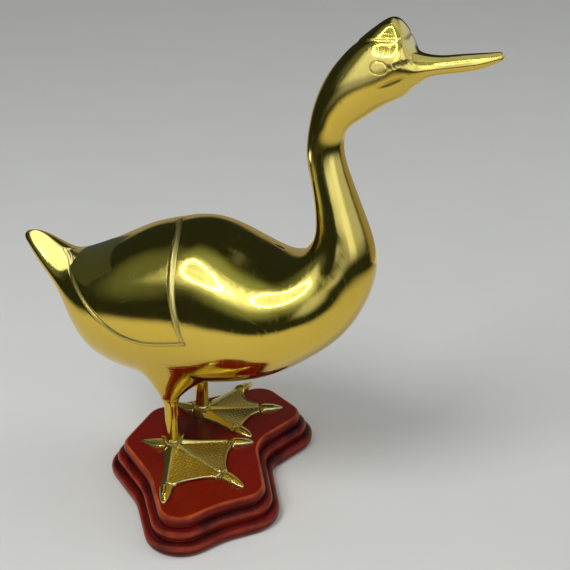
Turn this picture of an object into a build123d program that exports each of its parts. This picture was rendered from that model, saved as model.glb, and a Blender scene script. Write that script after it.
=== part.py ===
"""Brass duck on a lobed wooden base: hollow castings, rod legs and webbed feet.

Millimetres. +X is the way the bird faces, +Y its left, +Z up. The origin is on the
surface that the object stands on, midway between the two legs.
"""
import os
from math import cos, radians, sin

from build123d import *

# Bird: overall sizes of the castings
bird_length = 258.0
bird_height = 206.0
body_width = 81.0
wall = 3.0

# Stance: where the bird stands and how high
legs_apart = 38.0
leg_share = 37.2
belly_gap = 40.0

# Base: a board with a three-bead moulded edge, felt underneath
base_long = 148.0
base_deep = 107.0
base_thick = 18.0
corner_round = 20.0
notch_round = 15.0
waist_round = 45.0
bead_count = 3
bead_step = 4.4
bead_round = 2.6
felt_thick = 1.0
felt_inset = 5.0

# Legs, with a stud below the shoulder that clamps the foot to the base
leg_diameter = 7.5
leg_in_thigh = 10.0
stud_diameter = 5.0
stud_past_nut = 1.0
clearance = 0.2

# Feet
collar_diameter = 10.0
collar_height = 7.0
web_thick = 1.6
web_rise = 4.5
toe_root_width = 4.2
toe_root_height = 6.0
toe_width = 5.2
toe_height = 3.9
claw_width = 7.0
claw_height = 3.3
claw_tip = 1.6
rear_toe_width = 8.8
rear_toe_height = 3.4
outer_toe = 51.0
middle_toe = 55.0
inner_toe = 45.0
rear_toe = 20.0
left_share = 0.86

# Fasteners under the base
nut_across_flats = 8.0
nut_height = 4.0
washer_diameter = 12.0
washer_thick = 1.2
counterbore_diameter = 15.0

# Thigh: the casting narrows from the belly to the leg, by shares of its rise, length and width
thigh_drop = 6.0
thigh_rise = 17.0
thigh_long = 21.0
thigh_wide = 10.0
thigh_rim = 1.2
thigh_stages = [(0.35, 0.33, 0.62), (0.7, 0.62, 0.82), (1, 1, 1)]

# Raised wing outline, engraved eye and the joint of neck and body
wing_bead_wide = 3.0
wing_bead_high = 0.9
eye_long = 8.6
eye_high = 6.4
eye_groove = 0.8
spigot_length = 8.0
spigot_wall = 2.0

# Each station of the bird: back point and belly point, along and up, then half width.
# All are percents: of the length from the tail, of the height from the belly, of half the width.
tail_stations = [
    (0, 33.5, 0, 32, 6),
    (2.5, 34, 3.2, 27.5, 18),
    (6.5, 31.8, 7.2, 23.2, 31),
]
body_stations = [
    (10.5, 30, 10.7, 19.2, 43),
    (16, 32, 13.8, 11.6, 61),
    (22.5, 36, 17.5, 5, 79),
    (30, 41, 25, 1, 93),
    (37, 44, 32.5, 0, 98.5),
    (43.5, 45.5, 42, 0.5, 100),
    (49, 44, 51, 3, 98.5),
    (54.5, 41, 60.2, 7.7, 93.5),
    (59, 39.5, 67.4, 14, 84),
    (63, 40.6, 73.5, 21.5, 71),
    (65.5, 43.3, 77.4, 30.7, 54),
    (66.8, 47.5, 78.8, 41, 42),
]
neck_stations = [
    (66.8, 52.5, 76.7, 50.5, 34.5),
    (66, 59, 74, 59, 28.5),
    (64.9, 67, 71.8, 68, 24),
    (65.5, 75, 72.5, 73, 24.5),
]
head_stations = [
    (68, 84.5, 76, 77, 28.5),
    (73.5, 93.5, 80.5, 81, 33.5),
    (78, 98.5, 83.5, 83.5, 32),
    (81, 100, 84.5, 85, 29.5),
    (82.8, 97.5, 85.5, 86, 24.5),
    (83.9, 94.3, 86.5, 87, 20.5),
]
bill_stations = [
    (86.8, 92.6, 88, 88, 16),
    (91.5, 93.1, 92, 89.2, 12.5),
    (96, 94, 96.5, 90.8, 10),
    (100, 94.8, 100, 93, 5),
]
widest_share = 0.48
stations = tail_stations + body_stations + neck_stations + head_stations + bill_stations
tail_end = len(tail_stations)
body_end = tail_end + len(body_stations)
throat = body_end + len(neck_stations)
bill_root = throat + len(head_stations)

# Other places on the bird, percents along and up as above
neck_joint_back = (60.5, 38.5)
neck_joint_front = (75.2, 25.7)
wing_front = [(40, 50), (42, 33.5), (45, 19)]
wing_lower = [(10.5, 33), (16, 27.5), (24, 21.5), (34, 18), (45, 19)]
eye_place = (79.5, 90.2)

# Headings of the toes, in degrees left of straight ahead, and shares of their length
right_toes = [(-69, outer_toe), (-21, middle_toe), (28, inner_toe)]
left_toes = [(-19, left_share * inner_toe), (28, left_share * middle_toe), (72, left_share * outer_toe)]
right_rear = -177
left_rear = 170
web_share = 0.8
dip_share = 0.72
knuckle_share = 0.74
claw_share = 0.82

# Corners of the base before rounding, percents of its depth and length from the legs' midpoint
notch = (46, 3.5)
left_waist = (-5.8, -35.6)
front_waist = (47.5, -42)
base_corners = [
    (-35, 11.5),
    (-35.3, -18.8),
    left_waist,
    (26.5, -67),
    front_waist,
    (69, -26.5),
    notch,
    (61, 31),
    (20, 48.5),
]
inner_rounds = {notch: notch_round, left_waist: waist_round, front_waist: waist_round}
base_rounds = [inner_rounds.get(corner, corner_round) for corner in base_corners]

# Heights and places that follow from the sizes above
base_top = felt_thick + base_thick
belly_z = base_top + belly_gap
tail_x = -leg_share / 100 * bird_length
shoulder_z = base_top + collar_height
thigh_z = belly_z - thigh_drop
leg_y = -legs_apart / 2
counterbore_depth = washer_thick + nut_height + stud_past_nut + clearance
seat_z = felt_thick + counterbore_depth
stud_end_z = seat_z - washer_thick - nut_height - stud_past_nut
bead_thick = base_thick / bead_count
base_points = [(along / 100 * base_deep, across / 100 * base_long) for along, across in base_corners]

# A solid placed by the middle of its lower face
STANDING = (Align.CENTER, Align.CENTER, Align.MIN)


def bird_point(along, up):
    """Point of the bird's mid-plane, from percents along and up."""
    return Vector(tail_x + along / 100 * bird_length, 0, belly_z + up / 100 * bird_height)


def bird_form(inset, first=0, last=len(stations)):
    """Smooth solid through the stations from first to last, each drawn in by the inset."""
    with BuildPart() as form:
        for back_along, back_up, belly_along, belly_up, half_wide in stations[first:last]:
            belly = bird_point(belly_along, belly_up)
            rise = bird_point(back_along, back_up) - belly
            up = rise.normalized()
            middle = belly + rise * widest_share
            side = half_wide / 100 * body_width / 2 - inset
            above = rise.length * (1 - widest_share) - inset
            below = rise.length * widest_share - inset
            with BuildSketch(Plane(origin=middle, x_dir=(0, 1, 0), z_dir=(up.Z, 0, -up.X))):
                with BuildLine():
                    EllipticalCenterArc((0, 0), side, above, start_angle=0, arc_size=180)
                    EllipticalCenterArc((0, 0), side, below, start_angle=180, arc_size=180)
                make_face()
        loft()
    return form.part


def side_line(places):
    """Points of a line drawn on the bird's side, from percents along and up."""
    points = [bird_point(along, up) for along, up in places]
    return [(point.X, point.Z) for point in points]


# Forms shared by the castings
joint_back = bird_point(*neck_joint_back)
joint_front = bird_point(*neck_joint_front)
joint_up = (joint_back - joint_front).normalized()
neck_joint = Plane(origin=joint_front, x_dir=(0, 1, 0), z_dir=(joint_up.Z, 0, -joint_up.X))
bird = bird_form(0, last=bill_root + 1)
bill = bird_form(0, first=bill_root)
cavity = bird_form(wall, first=tail_end, last=throat)

# Raised outline of both wings
with BuildPart() as wing_beads:
    for places in (wing_front, wing_lower):
        with BuildSketch(Plane.XZ):
            with BuildLine():
                Spline(*side_line(places))
            trace(line_width=wing_bead_wide)
        extrude(amount=body_width, both=True)
    add(bird_form(-wing_bead_high, last=body_end), mode=Mode.INTERSECT)

# Right thigh: narrows from the belly to the leg, longer than wide
with BuildPart() as thigh:
    with BuildSketch(Plane.XY.offset(thigh_z)):
        with Locations((0, leg_y)):
            Circle(leg_diameter / 2 + thigh_rim)
    for rise_share, long_share, wide_share in thigh_stages:
        with BuildSketch(Plane.XY.offset(thigh_z + rise_share * thigh_rise)):
            with Locations((0, leg_y)):
                Ellipse(long_share * thigh_long, wide_share * thigh_wide)
    loft()

# Right half of the body: shell, wing outline and thigh with the socket for the leg
with BuildPart() as body_right_half:
    add(bird)
    add(wing_beads.part)
    split(bisect_by=neck_joint, keep=Keep.BOTTOM)
    add(cavity, mode=Mode.SUBTRACT)
    add(thigh.part)
    with Locations((0, leg_y, thigh_z)):
        Cylinder(leg_diameter / 2 + clearance, leg_in_thigh, align=STANDING, mode=Mode.SUBTRACT)
    split(bisect_by=Plane.XZ, keep=Keep.TOP)
body_right_half.part.label = "body_right_half"

# Left half of the body: the mirror image
with BuildPart() as body_left_half:
    mirror(body_right_half.part, about=Plane.XZ)
body_left_half.part.label = "body_left_half"

# Engraved ring of each eye, as deep as the groove is wide
with BuildPart() as eye_rings:
    with BuildSketch(Plane.XZ):
        with Locations(side_line([eye_place])):
            Ellipse(eye_long / 2, eye_high / 2)
            Ellipse(eye_long / 2 - eye_groove, eye_high / 2 - eye_groove, mode=Mode.SUBTRACT)
    extrude(amount=body_width, both=True)
    add(bird_form(eye_groove, first=throat, last=bill_root), mode=Mode.SUBTRACT)

# Slab across the neck joint, as long as the spigot on the body's side
with BuildPart() as spigot_zone:
    with BuildSketch(neck_joint):
        Circle(bird_height / 2)
    extrude(amount=-spigot_length)

# Ring that carries the spigot, on the neck's side of the joint
with BuildPart() as spigot_root:
    with BuildSketch(neck_joint):
        Circle(bird_height / 2)
    extrude(amount=spigot_wall)
    add(cavity, mode=Mode.INTERSECT)

# Spigot of the neck, which plugs into the body's opening
with BuildPart() as spigot:
    add(spigot_zone.part)
    add(bird_form(wall + clearance, first=tail_end, last=throat), mode=Mode.INTERSECT)
    add(spigot_root.part)
    add(bird_form(wall + clearance + spigot_wall, first=tail_end, last=throat), mode=Mode.SUBTRACT)

# Neck, head and bill: cored up to the throat
with BuildPart() as neck_and_head:
    add(bird)
    split(bisect_by=neck_joint, keep=Keep.TOP)
    add(bill)
    add(eye_rings.part, mode=Mode.SUBTRACT)
    add(cavity, mode=Mode.SUBTRACT)
    add(spigot.part)
neck_and_head.part.label = "neck_and_head"

# Right leg: rod with a shoulder on the foot's collar and a stud through foot and base
with BuildPart() as right_leg:
    with Locations((0, leg_y, shoulder_z)):
        Cylinder(leg_diameter / 2, thigh_z + leg_in_thigh - shoulder_z, align=STANDING)
    with Locations((0, leg_y, stud_end_z)):
        Cylinder(stud_diameter / 2, shoulder_z - stud_end_z, align=STANDING)
right_leg.part.label = "right_leg"

with BuildPart() as left_leg:
    mirror(right_leg.part, about=Plane.XZ)
left_leg.part.label = "left_leg"


def toe(ankle_y, heading, stages):
    """Flat-bottomed toe along a heading, from stages of reach, width and height."""
    out = Vector(cos(radians(heading)), sin(radians(heading)), 0)
    across = Vector(sin(radians(heading)), -cos(radians(heading)), 0)
    with BuildPart() as bar:
        for reach, width, height in stages:
            with BuildSketch(Plane(origin=Vector(0, ankle_y, base_top) + out * reach, x_dir=across, z_dir=out)):
                Ellipse(width / 2, height)
        loft(ruled=True)
        split(bisect_by=Plane.XY.offset(base_top), keep=Keep.TOP)
    return bar.part


def web(ankle_y, toes):
    """Fan between the front toes, scalloped in front and falling from the ankle."""

    def fan_point(heading, reach):
        return (reach * cos(radians(heading)), ankle_y + reach * sin(radians(heading)))

    ends = [fan_point(heading, web_share * reach) for heading, reach in toes]
    dips = []
    for (heading, reach), (next_heading, next_reach) in zip(toes, toes[1:]):
        dips.append(fan_point((heading + next_heading) / 2, dip_share * (reach + next_reach) / 2))
    with BuildPart() as fan:
        with BuildSketch(Plane.XY.offset(base_top)):
            with BuildLine():
                Line((0, ankle_y), ends[0])
                for start, dip, end in zip(ends, dips, ends[1:]):
                    ThreePointArc(start, dip, end)
                Line(ends[-1], (0, ankle_y))
            make_face()
        extrude(amount=collar_height)
        with BuildSketch(Plane.XZ.offset(-ankle_y)):
            with BuildLine():
                Polyline(
                    (0, base_top),
                    (middle_toe, base_top),
                    (middle_toe, base_top + web_thick),
                    (0, base_top + web_rise),
                    close=True,
                )
            make_face()
        revolve(axis=Axis((0, ankle_y, 0), (0, 0, 1)), mode=Mode.INTERSECT)
    return fan.part


def webbed_foot(ankle_y, toes, rear_heading):
    """Cast foot: collar, web, three front toes with claws and a leaf-shaped rear toe."""
    root = (0, toe_root_width, toe_root_height)
    rear_middle = (rear_toe / 2, rear_toe_width, rear_toe_height)
    tips = [toe(ankle_y, rear_heading, [root, rear_middle, (rear_toe, claw_tip, claw_tip / 2)])]
    for heading, reach in toes:
        knuckle = (knuckle_share * reach, toe_width, toe_height)
        claw = (claw_share * reach, claw_width, claw_height)
        tips.append(toe(ankle_y, heading, [root, knuckle, claw, (reach, claw_tip, claw_tip / 2)]))
    membrane = web(ankle_y, toes)
    with BuildPart() as foot:
        add(membrane)
        add(tips)
        with Locations((0, ankle_y, base_top)):
            Cylinder(collar_diameter / 2, collar_height, align=STANDING)
            Cylinder(stud_diameter / 2 + clearance, collar_height, align=STANDING, mode=Mode.SUBTRACT)
    return foot


# Feet: the left one is a little smaller and turned, as the two castings differ
right_foot = webbed_foot(leg_y, right_toes, right_rear)
right_foot.part.label = "right_foot"
left_foot = webbed_foot(-leg_y, left_toes, left_rear)
left_foot.part.label = "left_foot"


def lobed_board(inset, low, thick):
    """Board of the base's outline drawn in by the inset, from a height up."""
    with BuildPart() as board:
        with BuildSketch(Plane.XY.offset(low)):
            with BuildLine():
                FilletPolyline(*base_points, radius=base_rounds, close=True)
            make_face()
            if inset:
                offset(amount=-inset, mode=Mode.REPLACE)
        extrude(amount=thick)
    return board


def edge_bead(layer):
    """One layer of the moulded edge, its rims rounded into a bead."""
    with BuildPart() as bead:
        add(lobed_board(layer * bead_step, felt_thick + layer * bead_thick, bead_thick).part)
        fillet(bead.faces().filter_by(Axis.Z).edges(), radius=bead_round)
    return bead.part


# Wooden base: three beads, stud holes and counterbores for the nuts underneath
with BuildPart() as wooden_base:
    for layer in range(bead_count):
        add(edge_bead(layer))
    with Locations(
        Location((0, leg_y, felt_thick), (180, 0, 0)),
        Location((0, -leg_y, felt_thick), (180, 0, 0)),
    ):
        CounterBoreHole(stud_diameter / 2 + clearance, counterbore_diameter / 2, counterbore_depth)
wooden_base.part.label = "wooden_base"

# Felt under the base
felt_pad = lobed_board(felt_inset, 0, felt_thick)
felt_pad.part.label = "felt_pad"

# Washer and nut on the right stud
with BuildPart() as right_washer:
    with BuildSketch(Plane.XY.offset(seat_z - washer_thick)):
        with Locations((0, leg_y)):
            Circle(washer_diameter / 2)
            Circle(stud_diameter / 2 + clearance, mode=Mode.SUBTRACT)
    extrude(amount=washer_thick)
right_washer.part.label = "right_washer"

with BuildPart() as left_washer:
    mirror(right_washer.part, about=Plane.XZ)
left_washer.part.label = "left_washer"

with BuildPart() as right_nut:
    with BuildSketch(Plane.XY.offset(seat_z - washer_thick - nut_height)):
        with Locations((0, leg_y)):
            RegularPolygon(nut_across_flats / 2, 6, major_radius=False)
            Circle(stud_diameter / 2 + clearance / 2, mode=Mode.SUBTRACT)
    extrude(amount=nut_height)
right_nut.part.label = "right_nut"

with BuildPart() as left_nut:
    mirror(right_nut.part, about=Plane.XZ)
left_nut.part.label = "left_nut"

os.makedirs("parts", exist_ok=True)
export_step(body_left_half.part, "parts/body_left_half.step")
export_step(body_right_half.part, "parts/body_right_half.step")
export_step(neck_and_head.part, "parts/neck_and_head.step")
export_step(left_leg.part, "parts/left_leg.step")
export_step(right_leg.part, "parts/right_leg.step")
export_step(left_foot.part, "parts/left_foot.step")
export_step(right_foot.part, "parts/right_foot.step")
export_step(wooden_base.part, "parts/wooden_base.step")
export_step(left_washer.part, "parts/left_washer.step")
export_step(right_washer.part, "parts/right_washer.step")
export_step(left_nut.part, "parts/left_nut.step")
export_step(right_nut.part, "parts/right_nut.step")
export_step(felt_pad.part, "parts/felt_pad.step")
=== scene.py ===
"""Looks of the brass duck on its lobed wooden base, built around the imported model.

Sizes are millimetres in the model's own frame: +X the way the bird faces, +Y its left,
+Z up from the surface that it stands on. Meshes are written in metres.
"""

import math

import bmesh
import bpy
import numpy as np
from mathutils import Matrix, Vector


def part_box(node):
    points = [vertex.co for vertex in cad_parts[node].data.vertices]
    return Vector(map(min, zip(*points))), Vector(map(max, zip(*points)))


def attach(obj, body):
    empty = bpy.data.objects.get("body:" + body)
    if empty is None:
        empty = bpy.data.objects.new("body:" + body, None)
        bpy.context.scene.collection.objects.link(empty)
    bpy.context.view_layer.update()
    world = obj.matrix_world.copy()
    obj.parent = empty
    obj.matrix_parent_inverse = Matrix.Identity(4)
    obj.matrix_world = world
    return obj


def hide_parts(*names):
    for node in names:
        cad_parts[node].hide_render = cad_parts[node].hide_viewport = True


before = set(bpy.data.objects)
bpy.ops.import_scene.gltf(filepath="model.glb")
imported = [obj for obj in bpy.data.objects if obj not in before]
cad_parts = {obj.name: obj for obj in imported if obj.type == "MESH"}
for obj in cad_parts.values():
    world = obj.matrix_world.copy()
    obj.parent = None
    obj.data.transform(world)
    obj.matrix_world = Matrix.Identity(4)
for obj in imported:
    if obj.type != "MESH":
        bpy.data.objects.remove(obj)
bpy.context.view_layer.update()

MM = 0.001
BODY = "root"


def node_box(node):
    """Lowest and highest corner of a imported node, in millimetres."""
    low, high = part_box(node)
    return np.array(low) / MM, np.array(high) / MM


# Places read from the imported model
tail_x = node_box("body_right_half")[0][0]
thigh_z = node_box("body_right_half")[0][2]
bill_x = node_box("neck_and_head")[1][0]
base_low, base_top = node_box("wooden_base")[0][2], node_box("wooden_base")[1][2]
shoulder_z = node_box("right_foot")[1][2]
leg_low, leg_high = node_box("right_leg")
leg_y = (leg_low[1] + leg_high[1]) / 2
leg_radius = (leg_high[0] - leg_low[0]) / 2

# Beads stacked round the edge of the base
beads = 3

# Bird: overall sizes of the castings
bird_length = bill_x - tail_x
bird_height = 206.0
body_width = 81.0
thigh_drop = 6.0
belly_z = thigh_z + thigh_drop
tail_round = 3.0
bill_round = 2.0

# Each station of the bird: back point and belly point, along and up, then half width.
# All are percents: of the length from the tail, of the height from the belly, of half the width.
stations = np.array([
    (0, 33.5, 0, 32, 6),
    (2.5, 34, 3.2, 27.5, 18),
    (6.5, 31.8, 7.2, 23.2, 31),
    (10.5, 30, 10.7, 19.2, 43),
    (16, 32, 13.8, 11.6, 61),
    (22.5, 36, 17.5, 5, 79),
    (30, 41, 25, 1, 93),
    (37, 44, 32.5, 0, 98.5),
    (43.5, 45.5, 42, 0.5, 100),
    (49, 44, 51, 3, 98.5),
    (54.5, 41, 60.2, 7.7, 93.5),
    (59, 39.5, 67.4, 14, 84),
    (63, 40.6, 73.5, 21.5, 71),
    (65.5, 43.3, 77.4, 30.7, 54),
    (66.8, 47.5, 78.8, 41, 42),
    (66.8, 52.5, 76.7, 50.5, 34.5),
    (66, 59, 74, 59, 28.5),
    (64.9, 67, 71.8, 68, 24),
    (65.5, 75, 72.5, 73, 24.5),
    (68, 84.5, 76, 77, 28.5),
    (73.5, 93.5, 80.5, 81, 33.5),
    (78, 98.5, 83.5, 83.5, 32),
    (81, 99.9, 84.5, 85, 29.5),
    (82.8, 97.5, 85.5, 86, 24.5),
    (83.9, 94.3, 86.5, 87, 20.5),
    (86.8, 92.6, 88, 88, 16),
    (91.5, 93.1, 92, 89.2, 12.5),
    (96, 94, 96.5, 90.8, 10),
    (100, 94.8, 100, 93, 5),
])
widest_share = 0.48
before_joint, after_joint = 9, 15
throat = 19
bill_root = 25
neck_joint_back = (60.5, 38.5)
neck_joint_front = (75.2, 25.7)


class Wire:
    """A node's output that arithmetic works on: each operation adds a Math node to its tree."""

    def __init__(self, tree, socket):
        self.tree = tree
        self.socket = socket

    def __add__(self, other):
        return self.tree.math("ADD", self, other)

    def __sub__(self, other):
        return self.tree.math("SUBTRACT", self, other)

    def __rsub__(self, other):
        return self.tree.math("SUBTRACT", other, self)

    def __mul__(self, other):
        return self.tree.math("MULTIPLY", self, other)

    def __truediv__(self, other):
        return self.tree.math("DIVIDE", self, other)

    __radd__ = __add__
    __rmul__ = __mul__


class Tree:
    """A node tree, with one method that adds any node."""

    def __init__(self, tree):
        self.tree = tree

    def node(self, kind, settings=None, inputs=None, out=0):
        """Adds a node: its settings first, then the values or links of its sockets."""
        made = self.tree.nodes.new(kind)
        for name, value in (settings or {}).items():
            setattr(made, name, value)
        for key, value in (inputs or {}).items():
            if isinstance(value, Wire):
                self.tree.links.new(value.socket, made.inputs[key])
            else:
                made.inputs[key].default_value = value
        return Wire(self, made.outputs[out]) if len(made.outputs) else None

    def math(self, operation, *values):
        return self.node("ShaderNodeMath", {"operation": operation}, dict(enumerate(values)))


class Finish(Tree):
    """A material's node tree, with the few patterns that the finishes share."""

    def __init__(self, name):
        self.material = bpy.data.materials.new(name)
        self.material.use_nodes = True
        super().__init__(self.material.node_tree)
        self.tree.nodes.clear()
        self.place = self.node("ShaderNodeTexCoord", out="Object")

    def noise(self, period, detail=3.0, stretch=(1, 1, 1), turn=(0, 0, 0), roughness=0.5):
        """Noise of a period in millimetres, stretched and turned if asked."""
        place = self.node("ShaderNodeMapping", inputs={
            "Vector": self.place, "Rotation": turn, "Scale": [1 / share for share in stretch]})
        return self.node("ShaderNodeTexNoise", inputs={
            "Vector": place, "Scale": 1 / (period * MM), "Detail": detail, "Roughness": roughness})

    def step(self, value, low, high):
        """Smooth step of a value, 0 at low and 1 at high."""
        return self.node("ShaderNodeMapRange", {"interpolation_type": "SMOOTHSTEP"}, {
            "Value": value, "From Min": low, "From Max": high})

    def mix(self, share, first, second):
        """Colour between two colours."""
        return self.node("ShaderNodeMix", {"data_type": "RGBA"}, {0: share, 6: first, 7: second}, out=2)

    def mark(self, name):
        """A named value that the mesh carries at its points."""
        return self.node("ShaderNodeAttribute", {"attribute_name": name}, out="Fac")

    def bump(self, height, depth, normal=None):
        """Normal of a surface with a relief of a depth in millimetres."""
        inputs = {"Height": height, "Distance": depth * MM}
        if normal:
            inputs["Normal"] = normal
        return self.node("ShaderNodeBump", inputs=inputs)

    def surface(self, **sockets):
        """Ends the material in a Principled shader with these sockets, underscores read as spaces."""
        shader = self.node("ShaderNodeBsdfPrincipled", inputs={
            name.replace("_", " "): value for name, value in sockets.items()})
        self.node("ShaderNodeOutputMaterial", inputs={"Surface": shader})
        return self.material


def polished_brass():
    """Hand-polished cast brass: wavy, finely scratched, with painted shade darkening its grooves, pits and
    gaps.
    """
    make = Finish("polished_brass")
    hollow_shade = make.mark("hollow_shade")
    dull = make.mark("dull")
    cloud = make.noise(45, detail=4)
    warm = make.step(make.noise(18, detail=5), 0.52, 0.75)
    patch = make.step(make.noise(15, detail=2), 0.42, 0.58)
    scratch_one = make.step(make.noise(0.45, 2, stretch=(1, 24, 24), turn=(0.3, 0.5, 0.9)), 0.58, 0.70)
    scratch_two = make.step(make.noise(0.5, 2, stretch=(26, 1, 26), turn=(0.7, 0.2, 0.4)), 0.58, 0.70)
    scratch = scratch_one * patch + scratch_two * (1 - patch)
    speck = make.step(make.noise(2.2, detail=3), 0.66, 0.78)
    colour = make.mix(cloud, (0.75, 0.51, 0.063, 1), (0.81, 0.59, 0.11, 1))
    colour = make.mix(warm * 0.35, colour, (0.73, 0.46, 0.035, 1))
    colour = make.mix(dull * 0.8, colour, (0.84, 0.66, 0.18, 1))
    # Painted shade: darker in the grooves, creases, pits and gaps marked on the mesh
    colour = make.mix(hollow_shade, colour, (0.16, 0.10, 0.02, 1))
    roughness = 0.07 + cloud * 0.06 + scratch * 0.10 + speck * 0.10 + hollow_shade * 0.25 + dull * 0.36
    wavy = make.bump(make.noise(16, detail=1), 0.22)
    peel = make.bump(make.noise(1.6, detail=2), 0.004, wavy)
    normal = make.bump(scratch, 0.012, peel)
    return make.surface(Base_Color=colour, Metallic=1.0, Roughness=roughness, Normal=normal)


def dull_brass():
    """Cast brass of the feet: painted shade darkens its hollows; rubbed bright on its ridges."""
    make = Finish("dull_brass")
    hollow_shade = make.mark("hollow_shade")
    ridge = make.mark("ridge")
    cloud = make.noise(6, detail=4)
    blotch = make.step(make.noise(11, detail=3), 0.45, 0.7)
    # Painted shade in the hollows, broken up by noise
    dark = make.step(hollow_shade + cloud * 0.35, 0.30, 0.85)
    colour = make.mix(cloud, (0.70, 0.54, 0.11, 1), (0.86, 0.68, 0.18, 1))
    colour = make.mix(blotch * 0.35, colour, (0.50, 0.39, 0.08, 1))
    colour = make.mix(dark, colour, (0.075, 0.055, 0.012, 1))
    colour = make.mix(ridge, colour, (0.86, 0.70, 0.26, 1))
    roughness = 0.30 + dark * 0.25 - ridge * 0.15
    normal = make.bump(make.noise(0.8, detail=3), 0.03)
    return make.surface(Base_Color=colour, Metallic=1.0, Roughness=roughness, Normal=normal)


def stained_wood():
    """Red-stained, lacquered board: stain worn orange on the crests, with painted shade in the grooves."""
    make = Finish("stained_wood")
    hollow_shade = make.mark("hollow_shade")
    ridge = make.mark("ridge")
    height = make.node("ShaderNodeSeparateXYZ", inputs={0: make.place}, out="Z")
    upper = make.step(height, (base_top - 5.5) * MM, (base_top - 1.5) * MM)
    edge = 1 - make.step(height, (base_top - 2.5) * MM, (base_top - 1.2) * MM)
    level = (height / MM - base_low) / ((base_top - base_low) / beads)
    # Painted shade in the groove under each bead of the edge
    shelf_shade = make.step(make.math("FRACT", level), 0.80, 0.97) * edge
    cloud = make.noise(30, detail=4)
    streak = make.noise(1.6, detail=5, stretch=(1, 26, 6), turn=(0, 0, 0.5))
    pore = make.step(make.noise(0.55, detail=2, stretch=(1, 18, 4), turn=(0, 0, 0.5)), 0.60, 0.72)
    glaze = make.step(make.noise(5, detail=5, stretch=(3, 3, 1)), 0.40, 0.72)
    patchy = make.step(make.noise(9, detail=4), 0.30, 0.62)
    rub = make.step(ridge, 0.3, 0.85) * (patchy * 0.65 + 0.35) * (upper * 0.35 + 0.6)
    colour = make.mix(cloud, (0.165, 0.0045, 0.001, 1), (0.215, 0.0065, 0.0014, 1))
    colour = make.mix(make.step(streak, 0.35, 0.7) * 0.5, colour, (0.10, 0.006, 0.004, 1))
    colour = make.mix(pore * 0.4, colour, (0.045, 0.004, 0.004, 1))
    colour = make.mix(glaze * edge * 0.85, colour, (0.026, 0.003, 0.003, 1))
    colour = make.mix(rub, colour, (0.46, 0.085, 0.018, 1))
    # Painted shade: near black in the grooves and hollows of the moulding
    colour = make.mix(make.step(hollow_shade, 0.02, 0.4) * 0.92, colour, (0.014, 0.002, 0.003, 1))
    # Painted shade under each bead, deeper where the glaze is dark
    colour = make.mix(shelf_shade * (0.5 + glaze * 0.4), colour, (0.014, 0.002, 0.003, 1))
    roughness = 0.24 + cloud * 0.12
    normal = make.bump(make.noise(9, detail=2), 0.06, make.bump(pore, 0.02))
    return make.surface(Base_Color=colour, Roughness=roughness, Normal=normal, Specular_IOR_Level=0.15,
                        Coat_Weight=0.06, Coat_Roughness=0.1)


def zinc_steel():
    """Zinc-plated steel of the hidden nuts and washers."""
    make = Finish("zinc_steel")
    cloud = make.noise(3, detail=4)
    colour = make.mix(cloud, (0.55, 0.56, 0.58, 1), (0.68, 0.68, 0.66, 1))
    return make.surface(Base_Color=colour, Metallic=1.0, Roughness=0.28 + cloud * 0.15,
                        Normal=make.bump(make.noise(0.4), 0.01))


def green_felt():
    """Pressed wool felt."""
    make = Finish("green_felt")
    fibre = make.noise(0.6, detail=6, stretch=(1, 5, 1), turn=(0, 0, 0.7))
    cloud = make.noise(9, detail=3)
    colour = make.mix(fibre, (0.012, 0.05, 0.028, 1), (0.045, 0.13, 0.075, 1))
    colour = make.mix(cloud * 0.3, colour, (0.02, 0.07, 0.04, 1))
    return make.surface(Base_Color=colour, Roughness=0.95, Normal=make.bump(fibre, 0.15),
                        Sheen_Weight=0.4)


brass = polished_brass()
foot_brass = dull_brass()
wood = stained_wood()
steel = zinc_steel()
felt = green_felt()


def spline_through(knots, values):
    """Natural cubic spline through rows of values at the knots, as a function of the knot."""
    gap = np.diff(knots)
    slope = np.diff(values, axis=0) / gap[:, None]
    count = len(knots)
    system = np.eye(count)
    pull = np.zeros_like(values)
    for i in range(1, count - 1):
        system[i, i - 1:i + 2] = gap[i - 1], 2 * (gap[i - 1] + gap[i]), gap[i]
        pull[i] = 6 * (slope[i] - slope[i - 1])
    bend = np.linalg.solve(system, pull)

    def at(place):
        i = np.clip(np.searchsorted(knots, place) - 1, 0, count - 2)
        width = gap[i][..., None]
        right = ((place - knots[i]) / gap[i])[..., None]
        left = 1 - right
        curve = (left ** 3 - left) * bend[i] + (right ** 3 - right) * bend[i + 1]
        return left * values[i] + right * values[i + 1] + curve * width ** 2 / 6

    return at


def run_along(points):
    """Distance along a line of points, from its first."""
    return np.concatenate([[0], np.cumsum(np.linalg.norm(np.diff(points, axis=0), axis=1))])


def smooth_line(points, count):
    """Evenly spaced points of a smooth line through a few."""
    points = np.array(points, float)
    run = run_along(points)
    return spline_through(run, points)(np.linspace(0, run[-1], count))


def unit(vectors):
    """Vectors of length one, zero where there is none."""
    length = np.linalg.norm(vectors, axis=-1, keepdims=True)
    return vectors / np.maximum(length, 1e-9)


def new_mesh(name, points, faces, scale=MM):
    """Mesh from points, in millimetres unless another scale is given."""
    mesh = bpy.data.meshes.new(name)
    mesh.from_pydata((np.asarray(points) * scale).tolist(), [], [tuple(face) for face in faces])
    mesh.update()
    return mesh


def linked(name, data):
    """New object in the scene."""
    made = bpy.data.objects.new(name, data)
    bpy.context.scene.collection.objects.link(made)
    return made


def set_mark(mesh, name, values):
    """Writes a named value at each point of a mesh."""
    mark = mesh.attributes.get(name) or mesh.attributes.new(name, "FLOAT", "POINT")
    mark.data.foreach_set("value", values.astype(np.float32))


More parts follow.
